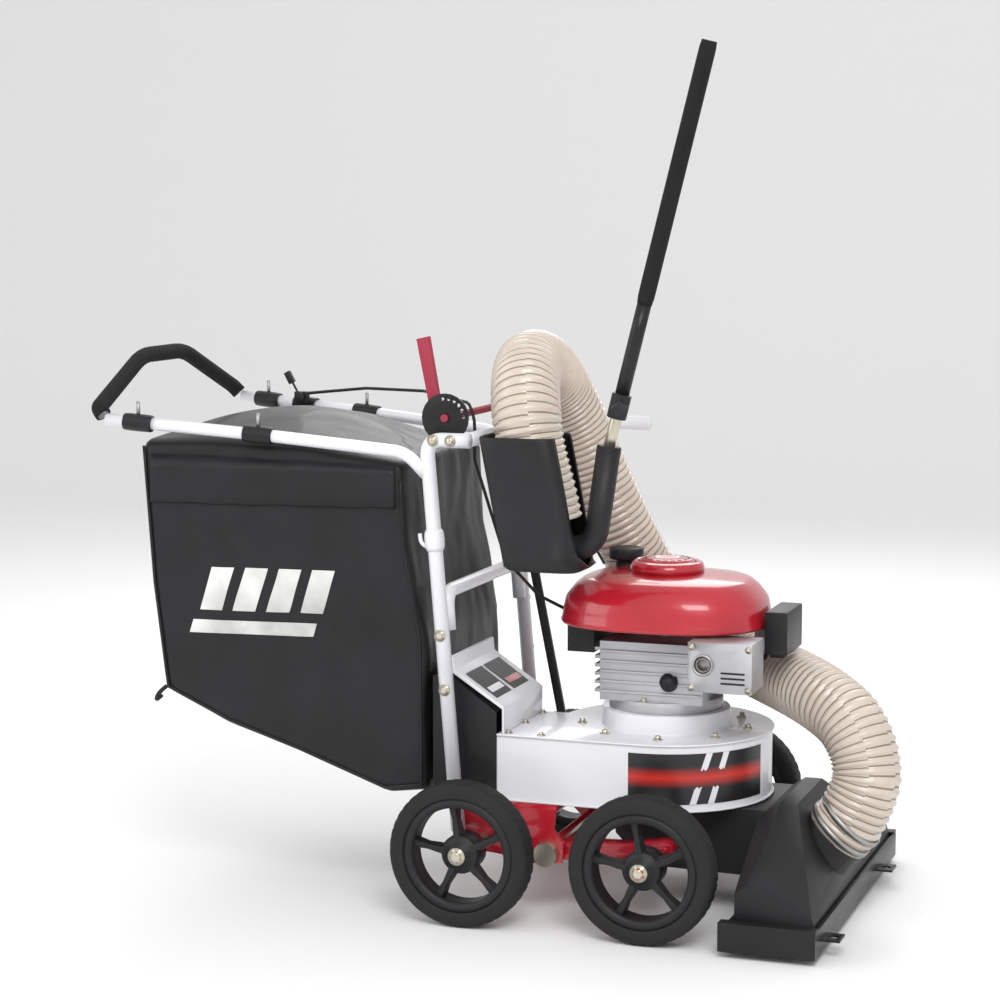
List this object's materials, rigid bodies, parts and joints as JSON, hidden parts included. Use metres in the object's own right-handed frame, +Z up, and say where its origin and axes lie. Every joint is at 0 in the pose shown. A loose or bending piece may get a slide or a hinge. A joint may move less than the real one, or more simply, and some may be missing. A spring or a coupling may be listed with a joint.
{
  "type": "leaf vacuum mulcher",
  "caption": "Walk-behind leaf vacuum with a wide floor nozzle, round impeller housing, petrol engine, rear collection bag, long hose and lift-out wand.",
  "frame": {"origin": "ground level at the middle of the machine's length and width", "axes": "+X forward to the nozzle, +Y the machine's left, +Z up"},
  "size_m": [1.443, 0.711, 1.5068],
  "materials": {
    "white_paint": "gloss powder coat",
    "red_paint": "gloss",
    "red_grip": "matte",
    "tyre_rubber": "matte",
    "black_plastic": "satin",
    "black_steel": "satin",
    "foam": "matte",
    "vinyl": "semi gloss coated fabric",
    "hose_plastic": "clear ribbed",
    "zinc": "zinc plated",
    "alloy": "cast",
    "steel": "satin",
    "cable_sheath": "satin"
  },
  "bodies": {
    "machine": {"chassis": "red_paint", "rear_axle": "zinc", "pivot_shaft": "zinc", "right_upright": "white_paint", "left_upright": "white_paint", "cross_tube": "white_paint", "hoop_bar": "white_paint", "right_rail": "white_paint", "left_rail": "white_paint", "handlebar": "white_paint", "hand_grip": "foam", "rear_right_saddle": "black_plastic", "rear_left_saddle": "black_plastic", "middle_right_saddle": "black_plastic", "middle_left_saddle": "black_plastic", "detent_plate": "black_steel", "housing_floor": "white_paint", "housing_wall": "white_paint", "housing_lid": "white_paint", "nozzle": "black_plastic", "bag_neck": "vinyl", "chute_cover": "white_paint", "bag": "vinyl", "hose": "hose_plastic", "holster": "black_plastic", "wand_elbow": "black_plastic", "wand_tube": "zinc", "crankcase": "alloy", "cylinder_head": "alloy", "carburettor": "alloy", "air_cleaner": "black_plastic", "muffler_guard": "alloy", "muffler": "steel", "engine_shroud": "red_paint", "starter_screen": "red_paint", "fuel_tank": "black_plastic", "throttle_bracket": "black_plastic", "throttle_cable": "cable_sheath", "starter_rope": "cable_sheath"},
    "front_arm": {"front_arm": "red_paint"},
    "height_lever": {"height_lever": "red_grip"},
    "height_rod": {"height_rod": "black_steel"},
    "rotor": {"crankshaft": "steel", "impeller": "alloy"},
    "nozzle_tray": {"nozzle_tray": "black_steel"},
    "wand_pole": {"pole": "black_steel", "pole_grip": "foam", "pole_collar": "black_plastic"},
    "clamp_knob": {"clamp_knob": "black_plastic"},
    "throttle_lever": {"throttle_lever": "black_plastic"},
    "starter_grip": {"starter_grip": "black_plastic"},
    "fuel_cap": {"fuel_cap": "black_plastic"},
    "front_right_wheel": {"front_right_tyre": "tyre_rubber", "front_right_rim": "black_plastic"},
    "front_left_wheel": {"front_left_tyre": "tyre_rubber", "front_left_rim": "black_plastic"},
    "rear_right_wheel": {"rear_right_tyre": "tyre_rubber", "rear_right_rim": "black_plastic"},
    "rear_left_wheel": {"rear_left_tyre": "tyre_rubber", "rear_left_rim": "black_plastic"}
  },
  "joints": [
    {"name": "front_arm_pivot", "type": "hinge", "parent": "machine", "child": "front_arm", "pos_m": [0.131, 0, 0.11], "axis": [0, 1, 0], "range_deg": [0, 14]},
    {"name": "front_right_spin", "type": "hinge", "parent": "front_arm", "child": "front_right_wheel", "pos_m": [0.336, -0.318, 0.127], "axis": [0, 1, 0], "continuous": true},
    {"name": "front_left_spin", "type": "hinge", "parent": "front_arm", "child": "front_left_wheel", "pos_m": [0.336, 0.318, 0.127], "axis": [0, 1, 0], "continuous": true},
    {"name": "rear_right_spin", "type": "hinge", "parent": "machine", "child": "rear_right_wheel", "pos_m": [0.012, -0.318, 0.127], "axis": [0, 1, 0], "continuous": true},
    {"name": "rear_left_spin", "type": "hinge", "parent": "machine", "child": "rear_left_wheel", "pos_m": [0.012, 0.318, 0.127], "axis": [0, 1, 0], "continuous": true},
    {"name": "height_lever_pivot", "type": "hinge", "parent": "machine", "child": "height_lever", "pos_m": [-0.06, 0, 0.866], "axis": [0, 1, 0], "range_deg": [-39, 0]},
    {"name": "height_rod_slide", "type": "slide", "parent": "machine", "child": "height_rod", "axis": [-0.198, 0, 0.9802], "range_m": [0, 0.0075]},
    {"name": "rotor_spin", "type": "hinge", "parent": "machine", "child": "rotor", "pos_m": [0.286, 0, 0.25], "axis": [0, 0, 1], "continuous": true},
    {"name": "nozzle_tray_slide", "type": "slide", "parent": "machine", "child": "nozzle_tray", "axis": [1, 0, 0], "range_m": [0, 0.17]},
    {"name": "pole_slide", "type": "slide", "parent": "machine", "child": "wand_pole", "axis": [0.2419, 0, 0.9703], "range_m": [-0.045, 0.04]},
    {"name": "clamp_knob_turn", "type": "hinge", "parent": "wand_pole", "child": "clamp_knob", "pos_m": [0.253, -0.198, 0.89004], "axis": [0.3489, -0.9372, 0], "continuous": true},
    {"name": "throttle_lever_pivot", "type": "hinge", "parent": "machine", "child": "throttle_lever", "pos_m": [-0.53, 0.237, 0.858], "axis": [0, 1, 0], "range_deg": [-15, 40]},
    {"name": "starter_pull", "type": "slide", "parent": "machine", "child": "starter_grip", "axis": [-0.7, 0, 0.7141], "range_m": [0, 0.25], "stiffness_N_per_m": 20},
    {"name": "fuel_cap_turn", "type": "hinge", "parent": "machine", "child": "fuel_cap", "pos_m": [0.186, 0.08, 0.6], "axis": [0, 0, 1], "range_deg": [0, 90]}
  ],
  "couplings": [
    {"joint": "height_lever_pivot", "follows": "front_arm_pivot", "ratio": -2.75},
    {"joint": "height_rod_slide", "follows": "front_arm_pivot", "m_per_rad": 0.0276}
  ]
}
